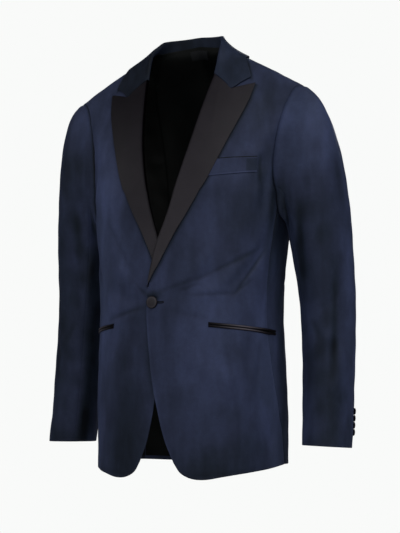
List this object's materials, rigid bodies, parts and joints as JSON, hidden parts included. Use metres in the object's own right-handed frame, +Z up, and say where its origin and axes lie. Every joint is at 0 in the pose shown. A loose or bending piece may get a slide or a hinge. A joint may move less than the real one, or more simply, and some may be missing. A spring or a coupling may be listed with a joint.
{
  "type": "tuxedo jacket",
  "caption": "Hollow dinner jacket in midnight-blue velvet, filled out as worn, with black satin peak lapels, jetted pockets, a breast welt and covered buttons.",
  "frame": {"origin": "midway between the two neck points, where the shoulder seams meet the collar: the wearer's shoulders hold the jacket here", "axes": "+X to the wearer's left, -Y to the front, +Z up along the neck"},
  "size_m": [0.5996, 0.2841, 0.804],
  "materials": {
    "velvet": "cotton velvet, midnight blue, short pile",
    "satin": "black silk satin",
    "covered_button": "black silk satin over a domed shell",
    "lining": "black acetate twill",
    "label": "plain black woven tape"
  },
  "bodies": {
    "root": {"back_left": "velvet", "back_right": "velvet", "breast_welt": "velvet", "button_front": "covered_button", "collar": "velvet", "cuff_button_left_1": "covered_button", "cuff_button_left_2": "covered_button", "cuff_button_left_3": "covered_button", "cuff_button_left_4": "covered_button", "cuff_button_right_1": "covered_button", "cuff_button_right_2": "covered_button", "cuff_button_right_3": "covered_button", "cuff_button_right_4": "covered_button", "front_left": "velvet", "front_right": "velvet", "jet_left_lower": "satin", "jet_left_upper": "satin", "jet_right_lower": "satin", "jet_right_upper": "satin", "lapel_left": "satin", "lapel_right": "satin", "lining_back": "lining", "neck_label": "label", "side_left": "velvet", "side_right": "velvet", "sleeve_left_under_arm": "velvet", "sleeve_left_under_forearm": "velvet", "sleeve_left_upper_arm": "velvet", "sleeve_left_upper_forearm": "velvet", "sleeve_left_upper_head": "velvet", "sleeve_right_under_arm": "velvet", "sleeve_right_under_forearm": "velvet", "sleeve_right_upper_arm": "velvet", "sleeve_right_upper_forearm": "velvet", "sleeve_right_upper_head": "velvet"}
  },
  "joints": []
}
